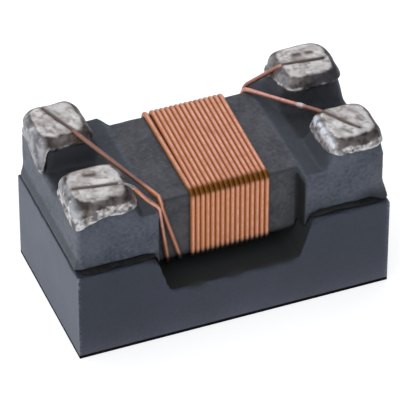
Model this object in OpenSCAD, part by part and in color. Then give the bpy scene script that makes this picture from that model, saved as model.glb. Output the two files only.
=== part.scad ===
// Common mode choke for surface mounting, 3216 case.
// A ferrite cover plate with a wide recess closes the magnetic path of a drum core.
// The core's flat beam carries two wires wound side by side.
// The core's four tinned legs are the terminals.
// The part stands on its plate with the terminals up. Sizes are in millimetres.
// The origin is the middle of the plate's flat face.
// +X runs along the plate and +Z points to the terminals.

/* [Cover plate] */
// Length of the plate, the longest side of the part
plate_len = 3.2; // [3.15:0.05:3.6]
// Width of the plate
plate_wid = 1.7; // [1.7:0.05:2]
// Thickness of the plate at its two ends
plate_thk = 1; // [0.9:0.01:1.3]
// Depth of the recess that clears the winding
recess_depth = 0.44; // [0.4:0.01:0.6]
// Width of the recess across its floor
recess_floor = 1.32; // [1.24:0.02:1.4]
// Width of the recess across its mouth
recess_mouth = 1.6; // [1.52:0.02:1.7]
// Radius at the foot of the recess's walls
floor_round = 0.1; // [0.03:0.01:0.14]
// Radius of the recess's mouth
mouth_round = 0.14; // [0.03:0.01:0.16]

/* [Bond line] */
// Thickness of the adhesive between plate and core
bond_thk = 0.02; // [0.01:0.005:0.06]
// How far the adhesive is squeezed out past the flange
bond_squeeze = 0.065; // [0.03:0.005:0.08]
// Height of the waves in the squeezed-out edge
bond_wave = 0.02; // [0:0.002:0.025]

/* [Drum core] */
// Length of the core over its two flanges
core_len = 3.13; // [2.95:0.01:3.15]
// Width of the flanges
core_wid = 1.6; // [1.5:0.01:1.62]
// Distance of the core's middle line behind the plate's
core_shift = 0.03; // [0:0.005:0.045]
// Thickness of a flange, from the bond line up to its shoulder
flange_thk = 0.46; // [0.36:0.01:0.5]
// Radius of the flange's upright corners
flange_round = 0.05; // [0.02:0.01:0.08]
// Clear length between the two flanges
window_len = 1.48; // [1.46:0.02:1.56]
// Width of the wound beam
beam_wid = 1.28; // [1.1:0.01:1.3]
// Distance of the beam's middle line behind the core's
beam_shift = 0.015; // [0:0.005:0.02]
// Height of the wound beam, level with the shoulders on top
beam_thk = 0.745; // [0.66:0.005:0.76]
// Edge radius of the beam
beam_round = 0.04; // [0.03:0.005:0.06]
// Clearance between the beam's lower ends and the recess's walls
beam_clear = 0.02; // [0.01:0.005:0.04]
// How far the beam's back roots reach along the beam
root_out = 0.035; // [0.02:0.005:0.05]
// How far the flange is cut back behind each root
root_in = 0.05; // [0.02:0.005:0.06]

/* [Legs] */
// Length of a leg at its foot
leg_len = 0.61; // [0.5:0.005:0.63]
// Width of the valley between the two legs of a flange
valley_wid = 0.47; // [0.42:0.01:0.6]
// Height of the bare leg above the shoulder
leg_rise = 0.28; // [0.26:0.01:0.36]
// How far a leg's outer end leans in over its height
lean_out = 0.025; // [0:0.005:0.04]
// How far a leg's inner end leans in over its height
lean_in = 0.06; // [0:0.005:0.08]
// Radius of a leg's top edges
leg_round = 0.1; // [0.05:0.01:0.12]
// Radius of a leg's upright corners
leg_corner = 0.14; // [0.05:0.01:0.16]
// Radius by which a leg's top rounds off at its corners
crown_round = 0.17; // [0.1:0.01:0.18]
// Radius of the fillet at a leg's foot in the valley
foot_round = 0.1; // [0.04:0.01:0.12]

/* [Terminals] */
// Thickness of the tin on top of a leg
tin_top = 0.06; // [0.055:0.005:0.08]
// Thickness of the tin on a leg's sides
tin_side = 0.02; // [0.01:0.005:0.03]
// Height of the tin's rim above the shoulder at a leg's outer end
rim_low = 0.03; // [0.01:0.01:0.06]
// Height of the tin's rim above the shoulder along the rest of the leg
rim_high = 0.15; // [0.1:0.01:0.18]
// Length over which the rim droops to the outer end
rim_droop = 0.22; // [0.1:0.02:0.3]

/* [Windings] */
// Diameter of the enamelled wire
wire_d = 0.048; // [0.036:0.001:0.05]
// Room between neighbouring wires
wire_gap = 0.0027; // [0.001:0.0005:0.004]
// Close turns of each wire on the beam, besides the lead's own turn
close_turns = 8; // [4:1:8]
// Distance of the first close turn from the left flange
first_turn = 0.388; // [0.38:0.004:0.42]
// How far the first turn stands apart at the back
first_spread = 0.022; // [0:0.002:0.06]
// Sideways step of a turn across the top of the beam, back towards the left
top_step = 0.035; // [0:0.005:0.04]
// Sideways step of a turn under the beam, to the right
under_step = 0.065; // [0.03:0.005:0.08]
// Clearance between the wire and what it lies on
wire_fit = 0.003; // [0.002:0.001:0.006]
// Clearance on each side of the wire in its groove
groove_fit = 0.005; // [0.004:0.001:0.008]
// Bending radius of the leads
lead_bend = 0.05; // [0.03:0.01:0.06]

/* [Hidden] */

// Steps of a rounded corner, of a beam edge under the wire and of a lead's bend
round_steps = 5;
edge_steps = 3;
bend_steps = 4;
// Sides of the wire and of the round that cuts a foot's fillet
wire_sides = 8;
foot_sides = 48;
// Overrun of cutting tools past the faces that they open
cut = 0.05;

// Heights, from the plate's top through the bond line to the top of the tin
flange_z = plate_thk + bond_thk;
shoulder_z = flange_z + flange_thk;
beam_z = shoulder_z - beam_thk;
leg_z = shoulder_z + leg_rise;
pad_z = leg_z + tin_top;

// Plan of the core
core_end = core_len / 2;
window_end = window_len / 2;
core_front = core_shift - core_wid / 2;
core_back = core_shift + core_wid / 2;
beam_front = core_shift + beam_shift - beam_wid / 2;
beam_back = core_shift + beam_shift + beam_wid / 2;
leg_wid = (core_wid - valley_wid) / 2;
leg_x = core_end - leg_len / 2;
leg_y = valley_wid / 2 + leg_wid / 2;

// Adhesive under a flange, clear of the recess's rounded mouth
bond_in = recess_mouth / 2 + mouth_round;
bond_out = core_end - flange_round;
bond_waves = 3;
bond_points = 24;

// Wire places along the beam
wire_r = wire_d / 2;
pitch = wire_d + wire_gap;
lie = wire_r + wire_fit;
wrap_r = beam_round + lie;
groove_w = wire_d + 2 * groove_fit;
// Distances from the left flange at which the two leads turn under the beam, in front and behind
lead_front = [0.13, 0.255];
lead_behind = [0.24, 0.34];
// Distance from the left flange at which the second lead comes over the front edge
left_over = 0.05;
// Distances from the right flange at which the two leads come up behind the beam
tail_behind = [0.24, 0.18];
// Wire on each terminal, as shares of the leg's half length and half width: its end and where it leaves
pad_lines = [
    [[-0.82, -0.03], [0.64, -0.31]],
    [[-0.33, 0.74], [0.22, -0.8]],
    [[0.32, -0.52], [-0.49, 0.86]],
    [[0.66, -0.13], [-0.77, 0.03]]
];
// Places of the two leads along the slanted root behind the right end of the beam
tail_share = [0.1, 0.43];
// Width and depth of the slot through which a wire bends out of its terminal
slot_w = groove_w + 2 * groove_fit;
slot_depth = 0.18;

// Outline with rounded corners. Each corner is [x, y, radius]; a radius of 0 keeps it sharp.
function rounded(corners) = [
    for (i = [0 : len(corners) - 1])
        let (n = len(corners),
             p = [corners[i].x, corners[i].y],
             a = unit([corners[(i + n - 1) % n].x, corners[(i + n - 1) % n].y] - p),
             b = unit([corners[(i + 1) % n].x, corners[(i + 1) % n].y] - p),
             r = corners[i].z,
             half = acos(a * b) / 2,
             centre = p + unit(a + b) * r / sin(half),
             from = p + a * r / tan(half) - centre,
             to = p + b * r / tan(half) - centre,
             sweep = 180 - 2 * half,
             turn = sign(from.x * to.y - from.y * to.x))
        each r == 0 ? [p] : [
            for (k = [0 : round_steps])
                let (t = turn * sweep * k / round_steps)
                centre + [from.x * cos(t) - from.y * sin(t), from.x * sin(t) + from.y * cos(t)]
        ]
];

function unit(v) = v / norm(v);

// Outlines are drawn in plan, from the front (x, z) or from the side (y, z) and run through the part
module plan(z0, z1) {
    translate([0, 0, z0]) linear_extrude(z1 - z0) children();
}

module along_y(y0, y1) {
    translate([0, y1, 0]) rotate([90, 0, 0]) linear_extrude(y1 - y0) children();
}

module along_x(x0, x1) {
    translate([x0, 0, 0]) rotate([90, 0, 90]) linear_extrude(x1 - x0) children();
}

module cover_plate() {
    x = plate_len / 2;
    mouth = recess_mouth / 2;
    floor = recess_floor / 2;
    floor_z = plate_thk - recess_depth;
    color("slategray")
        along_y(-plate_wid / 2, plate_wid / 2)
            polygon(rounded([
                [-x, 0, 0], [x, 0, 0], [x, plate_thk, 0],
                [mouth, plate_thk, mouth_round], [floor, floor_z, floor_round],
                [-floor, floor_z, floor_round], [-mouth, plate_thk, mouth_round],
                [-x, plate_thk, 0]
            ]));
}

// Film under one flange, with a wavy edge where it is squeezed out in front
module adhesive(side) {
    function squeezed(t) = core_front - bond_squeeze + bond_wave * (1 + sin(360 * bond_waves * t)) / 2;
    color("black")
        plan(plate_thk, flange_z)
            polygon([
                for (i = [0 : bond_points])
                    let (t = i / bond_points)
                    [side * (bond_in + (bond_out - bond_in) * t), squeezed(t)],
                [side * bond_out, core_back],
                [side * bond_in, core_back]
            ]);
}

module adhesive_left() { adhesive(-1); }

module adhesive_right() { adhesive(1); }

// Leg whose outer end points to +X. Its ends lean in and its top edges are rounded.
// It grows by the tin on its sides and top.
module leg_form(side_grow, top_grow) {
    x = leg_len / 2 + side_grow;
    y = leg_wid / 2 + side_grow;
    r = leg_corner;
    top = leg_z + top_grow;
    height = (top - shoulder_z) / leg_rise;
    slant = (x + y) / sqrt(2) - r * (sqrt(2) - 1);
    intersection() {
        plan(shoulder_z, top)
            polygon(rounded([[-x, -y, r], [x, -y, r], [x, y, r], [-x, y, r]]));
        along_y(-y - cut, y + cut)
            polygon(rounded([
                [-x, shoulder_z, 0], [x, shoulder_z, 0],
                [x - lean_out * height, top, leg_round], [lean_in * height - x, top, leg_round]
            ]));
        along_x(-x - cut, x + cut)
            polygon(rounded([
                [-y, shoulder_z, 0], [y, shoulder_z, 0],
                [y, top, leg_round], [-y, top, leg_round]
            ]));
        intersection_for (turn = [-45, 45])
            rotate([0, 0, turn])
                along_y(-x - y, x + y)
                    polygon(rounded([
                        [-slant, shoulder_z, 0], [slant, shoulder_z, 0],
                        [slant, top, crown_round], [-slant, top, crown_round]
                    ]));
    }
}

// Fillet along the valley side of a leg, from the start of its inner corner to its outer end.
// It reaches under the leg as far as the leg's rounded corner does.
module valley_foot(side) {
    r = foot_round;
    inner = leg_corner - leg_len / 2;
    outer = leg_len / 2 - flange_round;
    along_x(inner, outer)
        mirror([side > 0 ? 1 : 0, 0])
            difference() {
                translate([-leg_corner, shoulder_z]) square([leg_corner + r, r]);
                translate([r, shoulder_z + r]) circle(r, $fn = foot_sides);
            }
}

// Bare leg with its fillet, outer end at +X, in front (-1) or behind (1)
module leg(side) {
    leg_form(0, 0);
    translate([0, -side * leg_wid / 2, 0]) valley_foot(side);
}

// Sets what is drawn for a leg with its outer end at +X on one of the four legs
module at_leg(sx, sy) {
    translate([sx * leg_x, core_shift + sy * leg_y, 0]) mirror([sx < 0 ? 1 : 0, 0, 0]) children();
}

// Flange in plan: crisp corners in front of the beam, slanted roots behind it
module flange(side) {
    plan(flange_z, shoulder_z)
        polygon(rounded([
            [side * core_end, core_front, flange_round],
            [side * window_end, core_front, 0],
            [side * window_end, beam_back - root_out, 0],
            [side * (window_end - root_out), beam_back, 0],
            [side * (window_end + root_in), core_back, flange_round],
            [side * core_end, core_back, flange_round]
        ]));
}

// Place of the recess's right wall at a height
function wall_x(z) =
    (recess_floor + (recess_mouth - recess_floor) * (z - plate_thk + recess_depth) / recess_depth) / 2;

// Beam that hangs into the recess, with its lower ends slanted to clear the recess's walls
module beam() {
    r = beam_round;
    end = window_end + cut;
    toe = wall_x(beam_z) - beam_clear;
    intersection() {
        along_x(-end, end)
            polygon(rounded([
                [beam_front, beam_z, r], [beam_back, beam_z, r],
                [beam_back, shoulder_z, r], [beam_front, shoulder_z, r]
            ]));
        along_y(beam_front - cut, beam_back + cut)
            polygon([
                [-toe, beam_z - cut], [toe, beam_z - cut], [toe, beam_z],
                [window_end, flange_z], [end, flange_z], [end, shoulder_z + cut],
                [-end, shoulder_z + cut], [-end, flange_z], [-window_end, flange_z], [-toe, beam_z]
            ]);
    }
}

module ferrite_core() {
    color("dimgray")
        union() {
            beam();
            for (sx = [-1, 1]) {
                flange(sx);
                for (sy = [-1, 1])
                    at_leg(sx, sy) leg(sy);
            }
        }
}

// Wire line on one terminal in plan: [end, exit]
function pad_line(sx, sy) =
    [for (p = pad_lines[(sx + 1) + (sy + 1) / 2])
        [sx * leg_x + p.x * leg_len / 2, core_shift + sy * leg_y + p.y * leg_wid / 2]];

// Cut of a wire from a to b in plan, down from the pad's top
module trench(a, b, width, depth) {
    run = b - a;
    translate([a.x, a.y, pad_z - depth])
        rotate([0, 0, atan2(run.y, run.x)])
            translate([-groove_fit, -width / 2, 0])
                cube([norm(run) + 2 * groove_fit, width, depth + cut]);
}

// Groove that takes the wire's end flush with the pad, and the slot where it bends out of the tin
module groove(sx, sy) {
    line = pad_line(sx, sy);
    next = lead_over(sx, sy)[0];
    way = unit([next.x, next.y] - line[1]);
    trench(line[0], line[1], groove_w, wire_d + wire_fit);
    trench(line[1] - lie * way, line[1] + leg_len / 2 * way, slot_w, slot_depth);
}

// Region of the tin on a leg whose outer end points to +X: the rim droops to that end
module tin_region() {
    x = leg_len / 2;
    y = leg_wid / 2 + tin_side + cut;
    low = shoulder_z + rim_low;
    high = shoulder_z + rim_high;
    along_y(-y, y)
        polygon([
            [x + tin_side + cut, low], [x, low], [x - rim_droop, high], [-x - tin_side - cut, high],
            [-x - tin_side - cut, pad_z + cut], [x + tin_side + cut, pad_z + cut]
        ]);
}

// Tin cap of one leg
module terminal(sx, sy) {
    color("silver")
        difference() {
            at_leg(sx, sy)
                difference() {
                    intersection() {
                        leg_form(tin_side, tin_top);
                        tin_region();
                    }
                    leg(sy);
                }
            groove(sx, sy);
        }
}

module terminal_front_left() { terminal(-1, -1); }

module terminal_front_right() { terminal(1, -1); }

module terminal_back_left() { terminal(-1, 1); }

module terminal_back_right() { terminal(1, 1); }

// Wire round one edge of the beam at x.
// A turn takes the edges in order: back top, front top, front low, back low.
function edge_arc(x, edge) =
    let (y = edge == 0 || edge == 3 ? beam_back - beam_round : beam_front + beam_round,
         z = edge < 2 ? shoulder_z - beam_round : beam_z + beam_round)
    [for (k = [0 : edge_steps])
        let (a = 90 * (edge + k / edge_steps))
        [x, y + wrap_r * cos(a), z + wrap_r * sin(a)]];

// Place of a close pass on the front, counted over both wires
function pass_x(j) = first_turn - window_end + j * pitch;

// Close turns of one wire; the last one steps aside to its lead behind the beam
function close_route(w) = [
    for (k = [0 : close_turns - 1])
        let (j = 2 * k + w,
             x = pass_x(j),
             apart = j == 0 ? first_spread : 0,
             behind = k == close_turns - 1 ? window_end - tail_behind[w] : x + under_step)
        each concat(edge_arc(x + top_step - apart, 0), edge_arc(x, 1),
                    edge_arc(x, 2), edge_arc(behind, 3))
];

// Line with its inner points eased into curves
function eased(points) = [
    points[0],
    for (i = [1 : len(points) - 2])
        let (p = points[i],
             back = points[i - 1] - p,
             on = points[i + 1] - p,
             d = min(lead_bend, norm(back) / 2, norm(on) / 2),
             a = p + d * unit(back),
             b = p + d * unit(on))
        for (k = [0 : bend_steps])
            let (t = k / bend_steps)
            (1 - t) * (1 - t) * a + 2 * t * (1 - t) * p + t * t * b,
    points[len(points) - 1]
];

// Wire on a pad, at its own height
function on_pad(p) = [p.x, p.y, pad_z - wire_r];

// Points over which a lead comes down from its terminal.
// On the left, the first wire takes the flange's inner corner and the second the beam's front edge.
// On the right, both take the slanted root behind the beam.
function lead_over(sx, sy) =
    let (w = (sy + 1) / 2,
         foot = [window_end - root_out, beam_back],
         root = [window_end + root_in, core_back] - foot,
         p = foot + tail_share[w] * root + lie * unit([-root.y, root.x]))
    sx > 0 ? [[p.x, p.y, shoulder_z + lie]] :
    sy < 0 ? [[lie - window_end, core_front + lie, shoulder_z + lie]] :
    edge_arc(left_over - window_end, 1);

// From the left terminal to the first close turn
function lead_in(w) =
    let (side = 2 * w - 1,
         line = pad_line(-1, side),
         under = concat(edge_arc(lead_front[w] - window_end, 2),
                        edge_arc(lead_behind[w] - window_end, 3)),
         start = eased(concat([on_pad(line[0]), on_pad(line[1])], lead_over(-1, side), [under[0]])))
    concat([for (i = [0 : len(start) - 2]) start[i]], under);

// From the last close turn to the right terminal
function lead_out(w) =
    let (side = 2 * w - 1,
         line = pad_line(1, side),
         last = edge_arc(window_end - tail_behind[w], 3)[edge_steps],
         end = eased(concat([last], lead_over(1, side), [on_pad(line[1]), on_pad(line[0])])))
    [for (i = [1 : len(end) - 1]) end[i]];

// Round wire along a route. Its cross direction is carried along without twist.
module wire(route) {
    n = len(route);
    m = wire_sides;
    way = [for (i = [0 : n - 1]) unit(route[min(i + 1, n - 1)] - route[max(i - 1, 0)])];
    across = [
        for (i = 0, v = unit(cross(way[0], [0, 0, 1])); i < n;
             i = i + 1, v = i < n ? unit(v - (v * way[i]) * way[i]) : v)
            v
    ];
    points = [
        for (i = [0 : n - 1], s = [0 : m - 1])
            let (a = 360 * s / m)
            route[i] + wire_r * (cos(a) * across[i] + sin(a) * cross(way[i], across[i]))
    ];
    sides = [
        for (i = [0 : n - 2], s = [0 : m - 1])
            let (a = i * m + s, b = i * m + (s + 1) % m)
            each [[a, a + m, b], [b, a + m, b + m]]
    ];
    ends = [[for (s = [0 : m - 1]) s], [for (s = [m - 1 : -1 : 0]) (n - 1) * m + s]];
    polyhedron(points, concat(sides, ends));
}

module winding(w) {
    wire(concat(lead_in(w), close_route(w), lead_out(w)));
}

module winding_first() { color("peru") winding(0); }

module winding_second() { color("sandybrown") winding(1); }

ferrite_core();
cover_plate();
adhesive_left();
adhesive_right();
terminal_front_left();
terminal_front_right();
terminal_back_left();
terminal_back_right();
winding_first();
winding_second();
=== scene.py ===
import bmesh
import bpy
import numpy as np
from mathutils import Matrix, Vector


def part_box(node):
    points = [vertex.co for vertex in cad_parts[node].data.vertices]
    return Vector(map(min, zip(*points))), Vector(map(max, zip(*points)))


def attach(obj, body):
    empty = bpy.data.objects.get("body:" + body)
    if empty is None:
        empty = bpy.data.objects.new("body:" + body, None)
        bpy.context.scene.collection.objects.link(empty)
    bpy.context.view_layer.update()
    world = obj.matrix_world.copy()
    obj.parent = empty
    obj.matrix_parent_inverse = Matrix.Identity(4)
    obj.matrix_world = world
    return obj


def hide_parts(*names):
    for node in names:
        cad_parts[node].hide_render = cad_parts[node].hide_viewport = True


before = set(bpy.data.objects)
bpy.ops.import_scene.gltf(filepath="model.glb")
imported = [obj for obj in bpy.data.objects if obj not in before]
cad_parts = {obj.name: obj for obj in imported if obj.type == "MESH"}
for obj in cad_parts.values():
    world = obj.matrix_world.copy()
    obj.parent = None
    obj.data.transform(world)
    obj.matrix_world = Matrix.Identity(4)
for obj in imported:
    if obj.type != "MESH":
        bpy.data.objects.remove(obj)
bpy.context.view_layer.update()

MM = 0.001


def corners_of(node):
    """Lowest and highest corner of a node, in millimetres."""
    return np.round(np.array(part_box(node)) / MM, 4)


# Sizes that the frame gives, in millimetres
PLATE_X, PLATE_Y, PLATE_TOP = corners_of("cover_plate")[1]
(_, CORE_FRONT, BEAM_LOW), (CORE_X, CORE_BACK, LEG_TOP) = corners_of("ferrite_core")
FLANGE_LOW = corners_of("adhesive_left")[1, 2]
PAD_Z = corners_of("terminal_front_left")[1, 2]
CORE_MID = (CORE_FRONT + CORE_BACK) / 2

# Other sizes of the part's source or their halves, in millimetres
RECESS_DEPTH, RECESS_FLOOR, RECESS_MOUTH = 0.44, 0.66, 0.8
FLOOR_ROUND, MOUTH_ROUND = 0.1, 0.14
WINDOW_X, BEAM_FRONT, BEAM_BACK, BEAM_TOE = 0.74, -0.595, 0.685, 0.696
ROOT_OUT, ROOT_IN = 0.035, 0.05
LEG_HALF_X, LEG_HALF_Y, LEG_CORNER, LEG_RISE = 0.305, 0.2825, 0.14, 0.28
LEG_X, LEG_Y = CORE_X - LEG_HALF_X, CORE_BACK - CORE_MID - LEG_HALF_Y
SHOULDER = LEG_TOP - LEG_RISE
WIRE_R, WIRE_FIT, PITCH = 0.024, 0.003, 0.0507
BEAM_ROUND, FIRST_TURN, CLOSE_TURNS = 0.04, 0.388, 8
FIRST_SPREAD, TOP_STEP, UNDER_STEP = 0.022, 0.035, 0.065
LEAD_FRONT, LEAD_BEHIND = (0.13, 0.255), (0.24, 0.34)
LEFT_OVER, TAIL_BEHIND, TAIL_SHARE = 0.05, (0.24, 0.18), (0.1, 0.43)
LEAD_BEND = 0.05
# Wire on each pad: its end and where it leaves, as shares of the leg's half sizes
PAD_LINES = {
    (-1, -1): ((-0.82, -0.03), (0.64, -0.31)),
    (-1, 1): ((-0.33, 0.74), (0.22, -0.8)),
    (1, -1): ((0.32, -0.52), (-0.49, 0.86)),
    (1, 1): ((0.66, -0.13), (-0.77, 0.03)),
}


# Helpers of the shapes

def smooth(t):
    """Cubic ease from 0 to 1: three t squared less two t cubed, held at both ends."""
    t = np.clip(t, 0.0, 1.0)
    return t * t * (3.0 - 2.0 * t)


def unit(v):
    """Each row at unit length."""
    return v / np.maximum(np.linalg.norm(v, axis=-1, keepdims=True), 1e-12)


def lattice(cells, seed):
    """A fixed number from -1 to 1 for each lattice point, by mixing its three whole numbers and the seed."""
    h = cells[:, 0] * 73856093 ^ cells[:, 1] * 19349663 ^ cells[:, 2] * 83492791 ^ seed * 40503
    h = (h ^ h >> 13) * 1274126177 & 0xFFFFFFFF
    h = h ^ h >> 16
    return (h & 0xFFFF) / 32767.5 - 1.0


def noise(points, cell, seed):
    """Value noise: the lattice numbers of the eight corners round each point, blended by eased distances."""
    scaled = np.asarray(points, float).reshape(-1, 3) / cell
    base = np.floor(scaled).astype(np.int64)
    ease = smooth(scaled - base)
    total = np.zeros(len(scaled))
    for corner in range(8):
        step = np.array([corner & 1, corner >> 1 & 1, corner >> 2 & 1])
        total += lattice(base + step, seed) * np.prod(np.where(step, ease, 1.0 - ease), axis=1)
    return total


def rough(points, cell, seed, octaves=3):
    """Sum of value noises, each at half the cell and half the height of the one before."""
    return sum(noise(points, cell / 2 ** k, seed + 17 * k) / 2 ** k for k in range(octaves))


def round_drop(gap, radius):
    """Drop of a rounded edge at a distance from it: the radius less the height of a quarter circle."""
    reach = np.clip(radius - gap, 0.0, radius)
    return radius - np.sqrt(np.maximum(radius ** 2 - reach ** 2, 0.0))


def eased_steps(count):
    """Steps from 0 to 1 that crowd at 0: one less the cosine of an even angle."""
    return 1.0 - np.cos(np.linspace(0.0, np.pi / 2, count))


def crowded(edge, count):
    """Shares from 0 to 1: those of an edge strip, even steps between and the strip's mirror image."""
    return np.concatenate([edge, np.linspace(edge[-1], 1 - edge[-1], count)[1:-1], 1 - edge[::-1]])


def blend(a, p, b, t):
    """Quadratic curve from a to b that is drawn towards p, at shares t of the way."""
    return (1 - t) ** 2 * a + 2 * t * (1 - t) * p + t ** 2 * b


def lengths(line):
    """Way along a line to each of its points."""
    return np.concatenate([[0.0], np.cumsum(np.linalg.norm(np.diff(line, axis=0), axis=1))])


def cut_even(line, gap):
    """Line with its long stretches cut into even steps of about the gap."""
    far = lengths(line)
    steps = [np.linspace(a, b, max(1, round((b - a) / gap)), endpoint=False) for a, b in zip(far, far[1:])]
    at = np.append(np.concatenate(steps), far[-1])
    return np.stack([np.interp(at, far, column) for column in line.T], axis=1)


def sheet_quads(rows, columns):
    """Quads of a grid of points stored row by row."""
    i, j = np.meshgrid(np.arange(rows - 1), np.arange(columns - 1), indexing="ij")
    a = (i * columns + j).ravel()
    return np.stack([a, a + columns, a + columns + 1, a + 1], axis=1)


def ring_quads(rings, sides):
    """Quads of closed rings of points, each joined to the next."""
    i, j = np.meshgrid(np.arange(rings - 1), np.arange(sides), indexing="ij")
    a, b = (i * sides + j).ravel(), (i * sides + (j + 1) % sides).ravel()
    return np.stack([a, b, b + sides, a + sides], axis=1)


def welded(sheets):
    """Grids of points joined into one mesh: points that coincide become one."""
    points = np.concatenate([s.reshape(-1, 3) for s in sheets])
    starts = np.cumsum([0] + [s.shape[0] * s.shape[1] for s in sheets])
    quads = np.concatenate([sheet_quads(*s.shape[:2]) + k for s, k in zip(sheets, starts)])
    _, first, back = np.unique(np.round(points, 6), axis=0, return_index=True, return_inverse=True)
    return points[first], np.reshape(back, -1)[quads]


def normals(points, quads):
    """Direction of each point: the sum of its faces' crossed diagonals, at unit length."""
    across = np.cross(points[quads[:, 2]] - points[quads[:, 0]], points[quads[:, 3]] - points[quads[:, 1]])
    total = np.zeros_like(points)
    for k in range(4):
        np.add.at(total, quads[:, k], across)
    return unit(total)


def capped(loops, ends=None):
    """Closed rings of points joined in order; a point at each end closes the mesh."""
    rings, sides = loops.shape[:2]
    ends = np.stack([loops[0].mean(0), loops[-1].mean(0)]) if ends is None else ends
    k = np.arange(sides)
    first = np.stack([np.full(sides, rings * sides), k, (k + 1) % sides, (k + 1) % sides], axis=1)
    last = first + [1, (rings - 1) * sides, (rings - 1) * sides, (rings - 1) * sides]
    points = np.concatenate([loops.reshape(-1, 3), ends])
    return points, np.concatenate([ring_quads(rings, sides), first, last])


def slab(xs, share, front, back, top, low, levels, foot=0.0):
    """Closed block between a lower and an upper height over a plan.

    The plan runs along xs, from front to back at shares of that distance. Walls join the two sheets' edges in
    even levels above a foot of fixed height, and the grids' common edges are welded.
    """
    y = front[:, None] + (back - front)[:, None] * share[None, :]
    x = np.broadcast_to(xs[:, None], y.shape)
    upper, lower = np.stack([x, y, top], axis=2), np.stack([x, y, low], axis=2)
    raised = lower + [0.0, 0.0, foot]
    rise = np.linspace(0.0, 1.0, levels)[:, None, None]
    walls = []
    for k in (np.s_[:, 0], np.s_[:, -1], np.s_[0], np.s_[-1]):
        wall = raised[k] + (upper[k] - raised[k]) * rise
        walls.append(np.concatenate([lower[k][None], wall]) if foot else wall)
    return welded([upper, lower, *walls])


def piece(name, points, quads, material, node, marks=None, second=None):
    """Mesh piece in metres that replaces a node, with its faces turned outwards and shaded smooth.

    Quads with a repeated corner become triangles. The marks are named numbers for each point, and a second
    material may take the faces below a height.
    """
    kept = quads != np.roll(quads, 1, axis=1)
    corners = kept.sum(axis=1)
    threes = quads[corners == 3][kept[corners == 3]].reshape(-1, 3)
    mesh = bpy.data.meshes.new(name)
    mesh.from_pydata((points * MM).tolist(), [], quads[corners == 4].tolist() + threes.tolist())
    for label, values in (marks or {}).items():
        mesh.attributes.new(label, "FLOAT", "POINT").data.foreach_set("value", values.astype(np.float32))
    built = bmesh.new()
    built.from_mesh(mesh)
    bmesh.ops.recalc_face_normals(built, faces=built.faces)
    built.to_mesh(mesh)
    built.free()
    mesh.shade_smooth()
    mesh.materials.append(material)
    if second:
        other, below = second
        mesh.materials.append(other)
        middle = np.empty(3 * len(mesh.polygons), np.float32)
        mesh.polygons.foreach_get("center", middle)
        mesh.polygons.foreach_set("material_index", (middle[2::3] < below * MM).astype(np.int32))
    made = bpy.data.objects.new(name, mesh)
    bpy.context.scene.collection.objects.link(made)
    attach(made, "root")
    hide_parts(node)


# Parts of materials

def link(a, b):
    """Joins an output to an input; a socket knows its node tree."""
    a.id_data.links.new(a, b)


def put(value, socket):
    """Gives an input a number, a colour or another socket."""
    if isinstance(value, bpy.types.NodeSocket):
        link(value, socket)
    else:
        socket.default_value = (*value, 1.0) if isinstance(value, tuple) else value


def noise_node(vector, scale, detail, roughness):
    """Soft noise at a place."""
    node = vector.id_data.nodes.new("ShaderNodeTexNoise")
    for label, value in (("Vector", vector), ("Scale", scale), ("Detail", detail), ("Roughness", roughness)):
        put(value, node.inputs[label])
    return node.outputs["Fac"]


def spread(value, low, high, to_low=0.0, to_high=1.0):
    """Value carried from one range to another and held at its ends."""
    node = value.id_data.nodes.new("ShaderNodeMapRange")
    for socket, number in zip(node.inputs, (value, low, high, to_low, to_high)):
        put(number, socket)
    return node.outputs["Result"]


def sum_up(operation, a, *others):
    """Result of a calculation on a socket and other sockets or plain numbers."""
    node = a.id_data.nodes.new("ShaderNodeMath")
    node.operation = operation
    for socket, value in zip(node.inputs, (a, *others)):
        put(value, socket)
    return node.outputs[0]


def mixed(share, a, b):
    """Colour between a and b; each is a colour or a socket."""
    node = share.id_data.nodes.new("ShaderNodeMix")
    node.data_type = "RGBA"
    for k, value in ((0, share), (6, a), (7, b)):
        put(value, node.inputs[k])
    return node.outputs[2]


def millimetres(tree):
    """Object coordinates in millimetres."""
    coords = tree.nodes.new("ShaderNodeTexCoord")
    scaled = tree.nodes.new("ShaderNodeVectorMath")
    scaled.operation = "SCALE"
    scaled.inputs["Scale"].default_value = 1.0 / MM
    link(coords.outputs["Object"], scaled.inputs[0])
    return scaled.outputs["Vector"]


def attribute(tree, name):
    """Named number of the mesh's points."""
    node = tree.nodes.new("ShaderNodeAttribute")
    node.attribute_name = name
    return node.outputs["Fac"]


def new_material(name, values):
    """Material with a Principled shader whose plain sockets are set by name."""
    made = bpy.data.materials.new(name)
    made.use_nodes = True
    shader = made.node_tree.nodes["Principled BSDF"]
    for label, value in values.items():
        shader.inputs[label].default_value = value
    return made, made.node_tree, shader


def bump(shader, height, distance):
    """Fine relief of a height share times a distance in metres."""
    node = height.id_data.nodes.new("ShaderNodeBump")
    for label, value in (("Strength", 1.0), ("Distance", distance), ("Height", height)):
        put(value, node.inputs[label])
    link(node.outputs["Normal"], shader.inputs["Normal"])


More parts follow.
